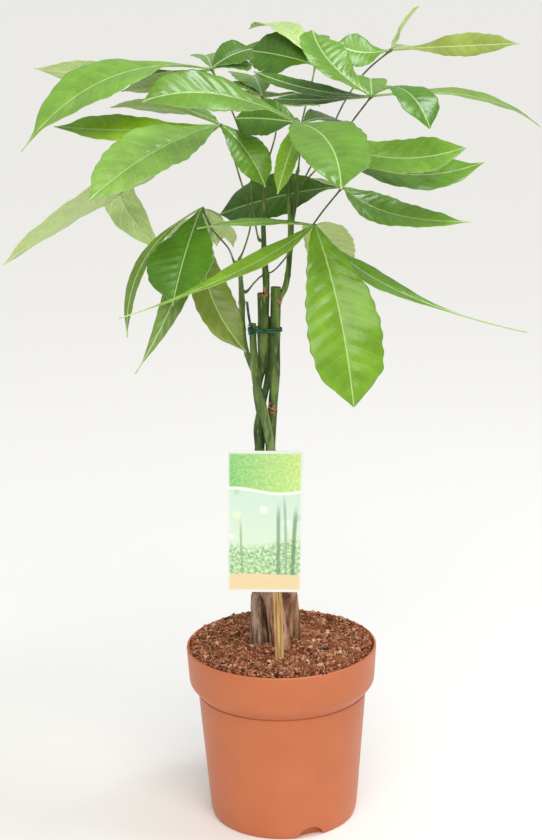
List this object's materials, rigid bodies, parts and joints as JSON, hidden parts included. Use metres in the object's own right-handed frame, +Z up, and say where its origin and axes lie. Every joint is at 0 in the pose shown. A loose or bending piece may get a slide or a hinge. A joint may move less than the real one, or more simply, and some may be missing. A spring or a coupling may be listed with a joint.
{
  "type": "potted money tree",
  "caption": "Potted money tree with braided green stems, palmate leaves on shoots, a wire tie, a plant card on a stick and a terracotta-coloured nursery pot.",
  "frame": {"origin": "centre of the pot's flat underside, on the pot's axis", "axes": "+Z up along the pot's axis, +X to the right and -Y towards the viewer of the front"},
  "size_m": [0.4479, 0.3766, 0.7137],
  "materials": {
    "pot_plastic": "satin terracotta-coloured moulded plastic",
    "coir_soil": "rough red-brown coir and peat",
    "stem_bark": "smooth olive green bark above, grey-brown woody bark below",
    "tie_wire": "dark green plastic-coated wire",
    "bamboo": "split bamboo, unfinished",
    "card_print": "printed plastic card in pale greens",
    "leaf_green": "satin green leaf with pale ribs"
  },
  "bodies": {
    "root": {"pot": "pot_plastic", "soil": "coir_soil", "stem_1": "stem_bark", "stem_2": "stem_bark", "stem_3": "stem_bark", "stem_4": "stem_bark", "wire_tie": "tie_wire", "label_stick": "bamboo", "label_card": "card_print", "leaf_upper_left": "leaf_green", "leaf_left": "leaf_green", "leaf_front": "leaf_green", "leaf_upper_right": "leaf_green", "leaf_top_right": "leaf_green", "leaf_top": "leaf_green", "leaf_right": "leaf_green", "leaf_hanging": "leaf_green", "leaf_low_left": "leaf_green", "leaf_back": "leaf_green"}
  },
  "joints": []
}
